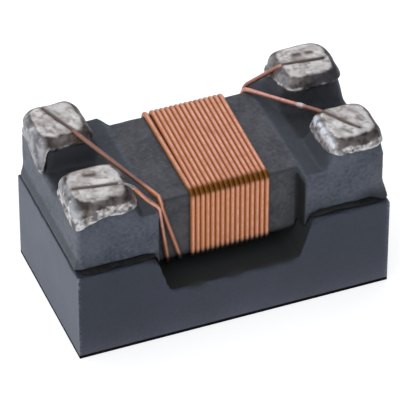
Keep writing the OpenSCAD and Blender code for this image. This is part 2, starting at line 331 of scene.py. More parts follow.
def fired_grain():
    """Group for pressed and fired ferrite: cloudy tone, grains and scattered light specks."""
    tree = bpy.data.node_groups.new("fired_grain", "ShaderNodeTree")
    for label, kind in (("Vector", "Vector"), ("Cloud", "Float"), ("Grain", "Float")):
        tree.interface.new_socket(label, in_out="INPUT", socket_type="NodeSocket" + kind)
    for label in ("Tone", "Speck", "Height"):
        tree.interface.new_socket(label, in_out="OUTPUT", socket_type="NodeSocketFloat")
    given, out = tree.nodes.new("NodeGroupInput").outputs, tree.nodes.new("NodeGroupOutput").inputs
    cloud = noise_node(given["Vector"], given["Cloud"], 3.0, 0.55)
    grain = noise_node(given["Vector"], given["Grain"], 2.0, 0.6)
    fine = sum_up("MULTIPLY", spread(grain, 0.34, 0.66), 0.5)
    link(sum_up("MULTIPLY_ADD", spread(cloud, 0.32, 0.68), 0.5, fine), out["Tone"])
    link(spread(grain, 0.62, 0.76), out["Speck"])
    link(grain, out["Height"])
    return tree


GRAIN = fired_grain()


def grain_in(tree, cloud, grain):
    """The ferrite's grain placed in a material with its own cloud and grain scales."""
    node = tree.nodes.new("ShaderNodeGroup")
    node.node_tree = GRAIN
    node.inputs["Cloud"].default_value = cloud
    node.inputs["Grain"].default_value = grain
    link(millimetres(tree), node.inputs["Vector"])
    return node.outputs["Tone"], node.outputs["Speck"], node.outputs["Height"]


# Materials

def pressed_ferrite():
    """Dull blue-grey ferrite with light specks.

    It is warmer on the wound beam, paler at the ends as painted light and near black under painted shade.
    """
    made, tree, shader = new_material("pressed_ferrite", {"Roughness": 0.6, "IOR": 1.4})
    shader.inputs["Specular Tint"].default_value = (0.78, 0.9, 1.0, 1.0)
    tone, speck, height = grain_in(tree, 3.5, 26.0)
    bare = mixed(tone, (0.047, 0.052, 0.068), (0.137, 0.148, 0.183))
    wound = mixed(tone, (0.04, 0.039, 0.045), (0.112, 0.106, 0.114))
    bare = mixed(attribute(tree, "wound"), bare, wound)
    # Painted light: paler ends
    end = mixed(tone, (0.062, 0.067, 0.085), (0.17, 0.182, 0.218))
    bare = mixed(attribute(tree, "end"), bare, end)
    bare = mixed(sum_up("MULTIPLY", speck, 0.2), bare, (0.2, 0.21, 0.24))
    # Painted shade: near black in valleys, crevices and under edges, spread by the tone
    shade = sum_up("ADD", attribute(tree, "painted_shade"), sum_up("MULTIPLY_ADD", tone, 0.3, -0.15))
    shade = spread(shade, 0.05, 0.95)
    colour = mixed(shade, bare, (0.018, 0.0165, 0.016))
    colour = mixed(attribute(tree, "stain"), colour, (0.16, 0.075, 0.025))
    link(colour, shader.inputs["Base Color"])
    bump(shader, height, 4e-6)
    return made


def ground_ferrite():
    """Satin blue-grey ferrite: black in the recess as painted shade, paler at the ends and on the front as
    painted light, and paler at the upright corners with wear and a painted highlight.
    """
    made, tree, shader = new_material("ground_ferrite", {"IOR": 1.45})
    shader.inputs["Specular Tint"].default_value = (0.68, 0.84, 1.0, 1.0)
    tone, _, height = grain_in(tree, 2.2, 45.0)
    bare = mixed(tone, (0.018, 0.019, 0.029), (0.039, 0.04, 0.056))
    # Painted light: paler, bluer ends
    end = mixed(tone, (0.05, 0.058, 0.086), (0.074, 0.086, 0.124))
    bare = mixed(attribute(tree, "end"), bare, end)
    # Painted light on the front: at its foot, along its right edge and in its middle
    painted_light = sum_up("MULTIPLY", attribute(tree, "painted_light"), spread(tone, 0.0, 1.0, 0.3, 0.6))
    bare = mixed(painted_light, bare, (0.115, 0.116, 0.146))
    # Upright corners paler: wear with a painted highlight
    worn = sum_up("MULTIPLY", attribute(tree, "worn"), spread(tone, 0.35, 0.65))
    bare = mixed(worn, bare, (0.3, 0.32, 0.36))
    # Painted shade: black and matt in the recess
    recess_shade = attribute(tree, "painted_shade")
    link(mixed(recess_shade, bare, (0.026, 0.0245, 0.022)), shader.inputs["Base Color"])
    matt = sum_up("MULTIPLY", recess_shade, 0.85)
    matt = sum_up("MAXIMUM", spread(tone, 0.0, 1.0, 0.4, 0.54), matt)
    link(matt, shader.inputs["Roughness"])
    bump(shader, height, 1.2e-6)
    return made


def cured_bond():
    """Black cured adhesive with a dull, grainy skin."""
    made, tree, shader = new_material("cured_bond", {"Roughness": 0.75, "IOR": 1.3})
    tone, _, height = grain_in(tree, 8.0, 30.0)
    colour = mixed(tone, (0.008, 0.008, 0.008), (0.024, 0.023, 0.022))
    link(colour, shader.inputs["Base Color"])
    bump(shader, height, 3e-6)
    return made


def painted_foot_shadow():
    """Black, lightless painted contact shadow along the plate's foot."""
    made, tree, shader = new_material("painted_foot_shadow", {"Roughness": 0.95, "IOR": 1.0})
    tone, _, height = grain_in(tree, 6.0, 40.0)
    colour = mixed(tone, (0.006, 0.006, 0.009), (0.016, 0.016, 0.022))
    link(colour, shader.inputs["Base Color"])
    bump(shader, height, 1e-6)
    return made


def dipped_tin():
    """Dull tin: a pale pad with soft streaks along the wire.

    Its shoulder is brownish and darkened by painted shade, bluish dark on some caps; its left-facing sides
    are paler as painted light, with painted highlights; its rim is pale and crumbly.
    """
    made, tree, shader = new_material("dipped_tin", {"Metallic": 1.0})
    where = millimetres(tree)
    clouds = noise_node(where, 9.0, 2.0, 0.5)
    specks = noise_node(where, 26.0, 2.0, 0.55)
    lumps = noise_node(where, 14.0, 1.0, 0.5)
    tints = noise_node(where, 4.0, 1.0, 0.5)
    along = tree.nodes.new("ShaderNodeCombineXYZ")
    link(sum_up("MULTIPLY", attribute(tree, "line_run"), 1.4), along.inputs[0])
    link(sum_up("MULTIPLY", attribute(tree, "line_offset"), 6.5), along.inputs[1])
    streaks = noise_node(along.outputs[0], 2.2, 2.0, 0.5)

    pad = mixed(spread(clouds, 0.34, 0.62), (0.52, 0.49, 0.465), (0.82, 0.78, 0.765))
    pad = mixed(spread(tints, 0.4, 0.65, 0.0, 0.55), pad, (0.64, 0.575, 0.555))
    pad = mixed(spread(specks, 0.56, 0.72, 0.0, 0.4), pad, (0.3, 0.27, 0.25))
    pad = mixed(spread(streaks, 0.54, 0.7, 0.0, 0.65), pad, (0.27, 0.215, 0.19))
    scratch = sum_up("SUBTRACT", noise_node(where, 5.0, 1.0, 0.5), 0.5)
    scratch = spread(sum_up("ABSOLUTE", scratch), 0.0, 0.08, 0.45, 0.0)
    scratch = sum_up("MULTIPLY", scratch, spread(tints, 0.42, 0.56))
    pad = mixed(scratch, pad, (0.25, 0.195, 0.175))
    pad = mixed(spread(lumps, 0.55, 0.7, 0.0, 0.65), pad, (0.3, 0.25, 0.235))
    # Shoulder: brownish tin darkened by painted shade in place of its rounding's dark reflection; some caps
    # add a bluish painted shade
    shoulder = mixed(spread(clouds, 0.38, 0.62), (0.066, 0.054, 0.05), (0.21, 0.18, 0.172))
    shoulder = mixed(attribute(tree, "painted_shoulder_shade"), shoulder, (0.062, 0.062, 0.076))
    # Left-facing sides: painted light, with painted highlights on the lumps and brighter ones where that
    # share passes 1
    side = mixed(spread(clouds, 0.38, 0.62), (0.2, 0.195, 0.2), (0.5, 0.5, 0.53))
    side = mixed(spread(lumps, 0.6, 0.74), side, (0.82, 0.82, 0.84))
    bright = spread(attribute(tree, "painted_left_light"), 1.0, 1.5)
    bright = sum_up("MULTIPLY", bright, spread(lumps, 0.4, 0.54))
    side = mixed(bright, side, (0.84, 0.84, 0.89))
    crumbs = spread(sum_up("ADD", lumps, specks), 0.8, 1.2)
    crumbs = mixed(crumbs, (0.19, 0.17, 0.162), (0.68, 0.655, 0.655))

    wavy = sum_up("MULTIPLY_ADD", sum_up("ADD", lumps, clouds), 0.8, -0.8)
    colour = mixed(attribute(tree, "painted_left_light"), shoulder, side)
    rim = spread(sum_up("ADD", attribute(tree, "bead"), wavy), 0.3, 0.7)
    colour = mixed(rim, colour, crumbs)
    pale = spread(sum_up("ADD", attribute(tree, "pale"), wavy), 0.2, 0.75)
    colour = mixed(pale, colour, pad)
    # Dark marks: painted shadow along the groove and under the wire past the pad, brown marks beside the wire
    colour = mixed(attribute(tree, "mark"), colour, (0.13, 0.092, 0.078))
    link(colour, shader.inputs["Base Color"])
    link(spread(specks, 0.3, 0.7, 0.62, 0.46), shader.inputs["Roughness"])
    bump(shader, sum_up("ADD", specks, lumps), 4e-6)
    return made


def enamelled_copper():
    """Copper under lacquer, more brown down its flanks, as the lacquer's tint and as painted shade toward the
    grooves, and with a painted dark reflection at the bends.

    It is a darker brown on some leads, darkened by painted shade on the leads' front stretch, grey where
    tinned, dark where pressed flat, and dark down in the gap as painted shade.
    """
    made, tree, shader = new_material("enamelled_copper", {"Coat Roughness": 0.3})
    tone = noise_node(millimetres(tree), 14.0, 3.0, 0.6)
    copper = mixed(spread(tone, 0.3, 0.7), (0.68, 0.32, 0.25), (0.9, 0.49, 0.42))
    # More brown down the flanks: the lacquer's tint, with painted shade toward the grooves between turns
    flank = spread(attribute(tree, "flank"), 0.0, 0.16)
    copper = mixed(flank, copper, (0.58, 0.23, 0.085))
    # Painted dark reflection at the bends
    copper = mixed(attribute(tree, "bend"), copper, (0.19, 0.064, 0.004))
    # Darker brown on some leads, with painted shade on the leads' front stretch
    copper = mixed(attribute(tree, "lead_brown_and_shade"), copper, (0.23, 0.12, 0.098))
    wavy = sum_up("MULTIPLY_ADD", tone, 0.8, -0.4)
    patch = spread(sum_up("ADD", attribute(tree, "tinned"), wavy), 0.35, 0.65)
    colour = mixed(patch, copper, (0.64, 0.58, 0.6))
    pressed = spread(sum_up("ADD", attribute(tree, "pressed"), wavy), 0.3, 0.6)
    colour = mixed(pressed, colour, (0.15, 0.115, 0.1))
    # Painted shade down in the gap below the beam
    colour = mixed(attribute(tree, "painted_shade"), colour, (0.01, 0.008, 0.007))
    link(colour, shader.inputs["Base Color"])
    link(spread(tone, 0.3, 0.7, 0.56, 0.44), shader.inputs["Roughness"])
    link(spread(flank, 0.0, 1.0, 1.0, 0.5), shader.inputs["Metallic"])
    link(spread(attribute(tree, "bend"), 0.0, 1.0, 0.15, 0.0), shader.inputs["Coat Weight"])
    return made


PRESSED, GROUND, BOND, FOOT_SHADOW = pressed_ferrite(), ground_ferrite(), cured_bond(), painted_foot_shadow()
TIN, COPPER = dipped_tin(), enamelled_copper()


# Cover plate

# Height of the plate's foot strip, which takes the painted contact shadow
FOOT = 0.032
WORN_WIDTH, TOP_ROUND, LOW_ROUND = 0.04, 0.012, 0.008
PLATE_LEVELS, PLATE_STEP = 30, 0.03
# Unevenness of edges: depth, size of its cells and seed
CHIPS = 0.024, 0.09, 5
RAGGED_ENDS = 0.09, 0.07, 31
LIP_SWING = 0.05, 0.17, 37
RAGGED_MORE, LIP_MEAN, LIP_MOST = 0.35, 0.022, 0.06
# Painted light on the front, as share and width: at the foot, at the right edge and in the middle
PAINTED_LIGHT_FOOT, PAINTED_LIGHT_RIGHT, PAINTED_LIGHT_MIDDLE = (1.7, 0.16), (0.7, 0.035), (0.2, 0.55)


def rounded_line(corners, steps):
    """Open line whose inner corners, as x, z and radius, become blends between the tangent points."""
    line = [corners[0][:2]]
    for (xa, za, _), (x, z, radius), (xb, zb, _) in zip(corners, corners[1:], corners[2:]):
        p = np.array([x, z])
        a, b = unit(np.array([xa, za]) - p), unit(np.array([xb, zb]) - p)
        reach = radius / np.tan(np.arccos(a @ b) / 2)
        t = np.linspace(0.0, 1.0, steps)[:, None]
        line.extend(blend(p + reach * a, p, p + reach * b, t))
    return np.array(line + [corners[-1][:2]])


def broken_edge(xs, spots):
    """Width broken off the recess's edge: ragged at its ends, more so at the right, and an uneven lip."""
    shape = spots.shape[:2]
    ax = np.abs(xs)
    near_end = smooth((ax - RECESS_FLOOR + 0.06) / 0.06) * smooth((RECESS_MOUTH + 0.12 - ax) / 0.1)
    depth, cell, seed = RAGGED_ENDS
    ragged = rough(spots, cell, seed).reshape(shape) + RAGGED_MORE * (xs > 0)[:, None]
    broken = depth * near_end[:, None] * np.maximum(ragged, 0.0)
    lip = smooth((RECESS_FLOOR + 0.01 - ax) / 0.09)[:, None]
    swing, cell, seed = LIP_SWING
    return broken + lip * np.clip(LIP_MEAN + swing * rough(spots, cell, seed).reshape(shape), 0.0, LIP_MOST)


def cover_plate():
    """Block whose top follows the recess's outline along X; a small, uneven radius wears its edges round."""
    floor = PLATE_TOP - RECESS_DEPTH
    corners = [(0.0, floor, 0), (RECESS_FLOOR, floor, FLOOR_ROUND), (RECESS_MOUTH, PLATE_TOP, MOUTH_ROUND),
               (PLATE_X - WORN_WIDTH, PLATE_TOP, 0)]
    half = cut_even(rounded_line(corners, 9), PLATE_STEP)
    worn = WORN_WIDTH * eased_steps(7)[::-1][1:]
    half = np.concatenate([half, np.stack([PLATE_X - worn, np.full(len(worn), PLATE_TOP)], axis=1)])
    line = np.concatenate([half[:0:-1] * [-1, 1], half])
    share = crowded(WORN_WIDTH / (2 * PLATE_Y) * eased_steps(7), 46)
    xs = line[:, 0]
    y = -PLATE_Y + 2 * PLATE_Y * share[None, :] + 0 * xs[:, None]
    spots = np.stack(np.broadcast_arrays(xs[:, None], y, line[:, 1:]), axis=2)
    to_edge = np.minimum(PLATE_Y - np.abs(y), (PLATE_X - np.abs(xs))[:, None])
    depth, cell, seed = CHIPS
    chips = depth * np.maximum(rough(spots, cell, seed).reshape(y.shape), 0.0)
    top = line[:, 1:] - round_drop(to_edge, TOP_ROUND + chips + broken_edge(xs, spots))
    low = round_drop(to_edge, LOW_ROUND)
    sides = np.full(len(xs), PLATE_Y)
    points, quads = slab(xs, share, -sides, sides, top, low, PLATE_LEVELS, FOOT)
    return points, quads, plate_marks(*points.T)


def plate_marks(x, y, z):
    """Shares of painted shade in the recess, of wear and a painted highlight at the upright edges, of painted
    light at the ends and in front.
    """
    ax, ay = np.abs(x), np.abs(y)
    # Painted shade in the recess
    within = smooth((RECESS_MOUTH + 0.02 - ax) / 0.06) * smooth((PLATE_Y - 0.004 - ay) / 0.02)
    within *= smooth((PLATE_TOP - 0.01 - z) / 0.06) * (z > 0.2)
    # Upright corners: wear with a painted highlight, more so near the top
    corner = np.exp(-((PLATE_X - ax) ** 2 + (PLATE_Y - ay) ** 2) / 0.018 ** 2)
    corner *= 0.4 + 0.6 * smooth((z - PLATE_TOP + 0.2) / 0.15)
    # Painted light on the ends
    end = smooth((ax - PLATE_X + 0.004) / 0.003)
    (at_foot, fade), (at_right, width), (at_middle, wide) = PAINTED_LIGHT_FOOT, PAINTED_LIGHT_RIGHT, PAINTED_LIGHT_MIDDLE
    # Painted light on the front: at its foot, along its right edge and in its middle
    painted_light = at_foot * np.exp(-z / fade) + at_right * np.exp(-((PLATE_X - x) / width) ** 2)
    painted_light = painted_light + at_middle * np.exp(-((x - 0.05) / wide) ** 2)
    painted_light = painted_light * smooth((-y - PLATE_Y + 0.02) / 0.01)
    return {"painted_shade": within, "worn": corner, "end": end, "painted_light": painted_light}


points, quads, marks = cover_plate()
piece("cover_plate_ground", points, quads, GROUND, "cover_plate", marks, (FOOT_SHADOW, FOOT))


# Drum core

EDGE_ROUND, LEG_MORE_ROUND, LOW_ROUND_SIDE, LOW_ROUND_END = 0.03, 0.07, 0.03, 0.01
END_STRIP, END_ROUND, WINDOW_ROUND, STEP_HALF = 0.065, 0.05, 0.022, 0.0028
LEG_FOOT, LEG_SLOPE, LEG_TRIM = 0.085, 0.145, 0.04
CORE_LEVELS, EDGE_STRIP = 26, 0.1
# Foot of the ends: its flare, its height at the right and left, and how far its front right corner reaches
# and from where
FLARE_OUT, FOOT_RIGHT, FOOT_LEFT, CORNER_OUT, CORNER_FROM = 0.028, 0.21, 0.16, 0.072, 1.42
# Dents and grains of the surface: depth, size of their cells and seed
DENTS, GRAINS = (0.0024, 0.16, 3), (0.0009, 0.035, 8)
# Underside from the beam to the flange, close over the recess's rounded mouth:
# distances from the middle and heights
MOUTH_FOLLOW = ([BEAM_TOE, 0.738, 0.769, 0.79, 0.818, 0.86, 0.9],
                [BEAM_LOW, 0.845, 0.928, 0.966, 0.997, 1.014, FLANGE_LOW])
# Painted shade in the valleys: half widths at the back right and elsewhere, and their start and end along the
# flange
VALLEY_WIDE, VALLEY_HALF, VALLEY_FROM, VALLEY_TO = 0.27, 0.18, 0.8, 1.49
# Start of the painted shade at the lower edges and low at the right front, end of the painted shade on the
# inner slopes, and the stain's start and end
UNDER_FROM, LOW_RIGHT_SHADE_FROM, SLOPE_TO, STAIN_FROM, STAIN_TO = 0.7, 1.15, 1.06, -0.36, 0.4
# Strength of each painted shade
VALLEY_DARK, UNDER_DARK, FOOT_DARK, LOW_RIGHT_SHADE_DARK, LIP_DARK, SLOPE_DARK = 0.85, 0.6, 0.42, 0.85, 0.7, 0.54


def leg_shape(x, y):
    """Height share of the four legs: an eased step of the depth inside a rounded rectangle.

    The back left and front right legs are a little shorter at their inner ends.
    """
    short = LEG_TRIM * ((np.abs(x) < LEG_X) & (x * (y - CORE_MID) < 0))
    px = LEG_CORNER - LEG_HALF_X + short + np.abs(np.abs(x) - LEG_X)
    py = LEG_CORNER - LEG_HALF_Y + np.abs(np.abs(y - CORE_MID) - LEG_Y)
    depth = LEG_CORNER - np.hypot(np.maximum(px, 0), np.maximum(py, 0)) - np.minimum(np.maximum(px, py), 0)
    return smooth((depth + LEG_FOOT) / LEG_SLOPE)


def drum_core():
    """Flanges, beam and legs as one block over an H-shaped plan.

    The front steps in at the window, the back slants in over the roots, the top rises by the legs and the
    bottom drops by the beam. The ends flare out to a foot, which is drawn out over the plate's front right
    corner. Edges are rounded by a quarter circle, and noise along the surface's direction dents it.
    """
    # Lines along X crowd at the window's step, on the inner slopes and at the ends
    half = np.concatenate([np.linspace(0, 0.66, 24), np.linspace(0.66, 0.732, 12)[1:],
                           WINDOW_X + np.array([-5, -2.5, -1, 1, 2.5, 5, 9, 14, 20]) * 0.001,
                           np.linspace(0.768, 1.12, 40), np.linspace(1.12, CORE_X - END_STRIP, 20)[1:],
                           CORE_X - END_STRIP * eased_steps(9)[::-1][1:]])
    xs = np.concatenate([-half[:0:-1], half])
    ax = np.abs(xs)
    step = smooth((ax - WINDOW_X + STEP_HALF) / (2 * STEP_HALF))
    root = np.clip((ax - WINDOW_X + ROOT_OUT) / (ROOT_OUT + ROOT_IN), 0, 1)
    turned = np.clip((ax - CORE_X + END_ROUND) / END_ROUND, 0, 1)
    inset = END_ROUND * (1 - np.sqrt(1 - turned ** 2))
    front = BEAM_FRONT + (CORE_FRONT - BEAM_FRONT) * step + inset
    front += step * round_drop(np.maximum(ax - WINDOW_X, 0), WINDOW_ROUND)
    back = BEAM_BACK + (CORE_BACK - BEAM_BACK) * (root + smooth(root)) / 2 - inset
    share = crowded(EDGE_STRIP / (CORE_BACK - CORE_FRONT) * eased_steps(10), 76)
    y = front[:, None] + (back - front)[:, None] * share
    x = np.broadcast_to(xs[:, None], y.shape)
    leg = leg_shape(x, y)
    gap_y = np.minimum(y - front[:, None], back[:, None] - y)
    gap_x = np.broadcast_to(CORE_X - ax[:, None], y.shape)
    radius = EDGE_ROUND + LEG_MORE_ROUND * leg
    reach = np.hypot(np.maximum(radius - gap_x, 0), np.maximum(radius - gap_y, 0))
    top = SHOULDER + LEG_RISE * leg - round_drop(radius - reach, radius)
    low = np.maximum(round_drop(gap_y, LOW_ROUND_SIDE), round_drop(gap_x, LOW_ROUND_END))
    low = np.interp(ax, *MOUTH_FOLLOW)[:, None] + low
    points, quads = slab(xs, share, front, back, top, low, CORE_LEVELS)
    x, y, z = points.T.copy()
    foot = 1 - smooth((z - FLANGE_LOW) / np.where(x > 0, FOOT_RIGHT, FOOT_LEFT))
    points[:, 0] += np.sign(x) * FLARE_OUT * foot * smooth((np.abs(x) - CORE_X + 0.03) / 0.03)
    drawn = smooth((x - CORNER_FROM) / 0.14) * smooth((CORE_FRONT + 0.09 - y) / 0.06)
    points[:, 1] -= CORNER_OUT * foot * drawn
    (deep, wide, seed), (fine, cell, fine_seed) = DENTS, GRAINS
    dents = deep * rough(points, wide, seed) + fine * noise(points, cell, fine_seed)
    points = points - normals(points, quads) * dents[:, None]
    return points, quads, core_marks(*points.T)


def core_marks(x, y, z):
    """Shares of painted shade, of the wound beam, of its stain under the wires and of painted light at the
    ends.

    Painted shade lies in the valleys, at the window's ends, along the lower edges, on the ends' feet, low at
    the right front, on the beam's lip and underside and on the inner slopes of the flanges.
    """
    ax = np.abs(x)
    # Painted shade in the valleys between the legs
    valley_half = np.where((x > 0) & (y > CORE_MID), VALLEY_WIDE, VALLEY_HALF)
    valley = smooth((ax - VALLEY_FROM) / 0.16) * (1 - smooth((np.abs(y - CORE_MID) - valley_half) / 0.16))
    valley *= smooth((z - SHOULDER + 0.08) / 0.06) * (1 - 0.8 * smooth((ax - VALLEY_TO) / 0.07))
    # Painted shade at the window's ends
    window = smooth((WINDOW_X + 0.025 - ax) / 0.025) * smooth((ax - WINDOW_X + 0.05) / 0.045)
    window *= smooth((SHOULDER - 0.04 - z) / 0.05) * (y < 0)
    at_end = smooth((ax - CORE_X + 0.02) / 0.02)
    # Painted shade along the lower edges and on the ends' feet
    under = smooth((FLANGE_LOW + 0.03 - z) / 0.04) * smooth((ax - UNDER_FROM) / 0.04) * (1 - at_end)
    foot = smooth((FLANGE_LOW + 0.145 - z) / 0.035) * at_end
    # Painted shade low at the right front
    low_right_shade = smooth((x - LOW_RIGHT_SHADE_FROM) / 0.35) * smooth((FLANGE_LOW + 0.2 - z) / 0.18) * (y < 0)
    # Painted shade on the beam's underside and along its front top edge
    low = smooth((BEAM_LOW + 0.085 - z) / 0.07)
    lip = np.exp(-((y - BEAM_FRONT) ** 2 + (z - SHOULDER) ** 2) / 0.022 ** 2) * (ax < WINDOW_X)
    # Painted shade on the inner slopes of the flanges
    slope = smooth((z - SHOULDER + 0.015) / 0.015) * smooth((SLOPE_TO - ax) / 0.08)
    slope = slope * smooth((ax - WINDOW_X) / 0.05) * smooth((y - CORE_FRONT - 0.01) / 0.03)
    painted_shade = np.maximum.reduce([VALLEY_DARK * valley, window, UNDER_DARK * under, FOOT_DARK * foot,
                                   LOW_RIGHT_SHADE_DARK * low_right_shade, low, LIP_DARK * lip, SLOPE_DARK * slope])
    stain = smooth((x - STAIN_FROM) / 0.02) * smooth((STAIN_TO - x) / 0.02)
    # The ends' share is painted light
    return {"painted_shade": np.clip(painted_shade, 0, 1), "wound": smooth((WINDOW_X + 0.06 - ax) / 0.12),
            "stain": stain, "end": smooth((ax - CORE_X + 0.04) / 0.03)}


points, quads, marks = drum_core()
piece("drum_core_pressed", points, quads, PRESSED, "ferrite_core", marks)


# Bond lines

# How far the bond swells out in front and climbs up the flange: mean, swing, least and most
BOND_OUT, BOND_CLIMB = (0.058, 0.016, 0.02, 0.076), (0.008, 0.02, 0.0, 0.03)
BOND_CELL, BOND_FADE, BOND_SEED = 0.2, 0.1, 21
# The bond reaches this far into the core and plate at the back and behind the core's front
BOND_SINK, BOND_BEHIND = 0.003, 0.002


def swell(along, values, seed):
    """Uneven number along a line: a mean with a swing of noise, held between the least and the most."""
    mean, swing, least, most = values
    return np.clip(mean + swing * rough(along, BOND_CELL, seed), least, most)


def bond_line(side, seed):
    """Film between plate and flange that swells out in front: a closed outline in y and z along X."""
    xs = np.linspace(RECESS_MOUTH, CORE_X - 0.03, 110)
    along = np.stack([xs * side, np.zeros_like(xs), np.zeros_like(xs)], axis=1)
    fade = np.minimum(smooth((xs - xs[0]) / BOND_FADE), smooth((xs[-1] - xs) / BOND_FADE))
    out = swell(along, BOND_OUT, seed) * (0.5 + 0.5 * fade)
    climb = swell(along, BOND_CLIMB, seed + 3) * fade
    turn = np.linspace(-np.pi / 2, np.pi / 2, 14)
    bulge_y = CORE_FRONT - out[:, None] * np.cos(turn)[None, :] - BOND_BEHIND
    bulge_z = PLATE_TOP + (FLANGE_LOW - PLATE_TOP + climb[:, None]) * (1 + np.sin(turn)[None, :]) / 2
    back_y = np.full((len(xs), 2), CORE_BACK)
    back_z = np.broadcast_to(np.array([FLANGE_LOW + BOND_SINK, PLATE_TOP - BOND_SINK]), (len(xs), 2))
    y, z = np.concatenate([bulge_y, back_y], axis=1), np.concatenate([bulge_z, back_z], axis=1)
    return capped(np.stack(np.broadcast_arrays(side * xs[:, None], y, z), axis=2))


for side, word in ((-1, "left"), (1, "right")):
    points, quads = bond_line(side, BOND_SEED + side)
    piece("bond_line_" + word, points, quads, BOND, "adhesive_" + word)


# Terminals

PAD_UNDER, CAP_BEND, CAP_SIDES = 0.006, 0.105, 160
# Bead over the rim: its depth, height and half width; and the lip, which turns in within a height
BEAD_OUT, BEAD_HIGH, BEAD_HALF, LIP_IN, LIP_HIGH = 0.013, 0.026, 0.022, 0.012, 0.016
# Inner ends lean in, and inner ends and valley sides flare out near the shoulder
LEAN_IN, FLARE_LOW = 0.045, 0.07
# Corners are fuller by these shares at the outer and inner ends, and by a multiple of the tip
FULL_OUTER, FULL_INNER, FULL_TIP = 0.04, 0.06, 3
# Depths of lumps, folds, folds of the crumbly rim and the wire's groove, and the groove's half width
LUMPS, FOLDS, RIM_FOLDS, GROOVE, GROOVE_HALF = 0.006, 0.001, 0.01, 0.006, 0.022
# Rim's lowest tip, as place and half width in shares of the pad, and the rim's swing and its cell
TIP_AT, TIP_HALF, RIM_SWING, RIM_CELL = 0.84, 0.16, 0.012, 0.4
# Dark mark along the groove, a painted shadow under the wire: its strength and half width
GROOVE_DARK, DARK_HALF = 0.8, 0.026
# Inner skin: shares of the lip's distance from the middle, and of the climb to a little below the pad
SKIN_SHRINK, SKIN_CLIMB, SKIN_UNDER = (0.96, 0.76, 0.55, 0.25), (-0.02, 0.0, 0.7, 0.86), 0.07


def pad_line(sx, sy):
    """Wire on one pad in plan: its end and where it leaves."""
    middle = np.array([sx * LEG_X, CORE_MID + sy * LEG_Y])
    return middle + np.array(PAD_LINES[sx, sy]) * [LEG_HALF_X, LEG_HALF_Y]


def cap_rim(cap, ux, uy):
    """Height of a cap's rim, from side to valley: it droops to the core's end, with a tip and noise."""
    high_side, high_valley, high_end = cap["rim"]
    start, stop = cap["droop"]
    tip, tip_side = cap["tip"]
    seed = cap["seed"]
    high = high_valley + (high_side - high_valley) * smooth((uy + 0.6) / 1.2)
    droop = smooth((ux - start) / (stop - start)) * (1 - 0.6 * smooth(0.5 - uy * tip_side))
    rim = SHOULDER + high + (high_end - high) * droop
    rim = rim - tip * np.exp(-((ux - TIP_AT) ** 2 + (uy - TIP_AT * tip_side) ** 2) / TIP_HALF ** 2)
    around = np.stack([ux, uy, np.full(len(ux), 0.37 * seed)], axis=1)
    return rim + RIM_SWING * rough(around, RIM_CELL, seed)


def wire_marks(sx, sy, cap, points):
    """Wire's groove on a cap, the dark marks in and beside it, and places beside and along the wire: the mark
    along the groove and those on the wire's line past the pad are painted shadow under the wire, those beside
    it brown marks.
    """
    line = pad_line(sx, sy)
    long = np.linalg.norm(line[1] - line[0])
    way = (line[1] - line[0]) / long
    run = (points[:, :2] - line[0]) @ way / long
    offset = (points[:, :2] - line[0]) @ np.array([-way[1], way[0]])
    groove = np.exp(-(offset / GROOVE_HALF) ** 2) * smooth((run + 0.05) / 0.1)
    mark = GROOVE_DARK * np.exp(-(offset / DARK_HALF) ** 2) * smooth((run + 0.1) / 0.1)
    for beside, at, half_run, strength, width in cap["marks"]:
        shape = strength * np.exp(-((offset - beside) / width) ** 2)
        mark = np.maximum(mark, shape * smooth((half_run + 0.05 - np.abs(run - at)) / 0.1))
    return groove * (points[:, 2] > PAD_Z - 0.06), {"mark": mark, "line_offset": offset, "line_run": run}


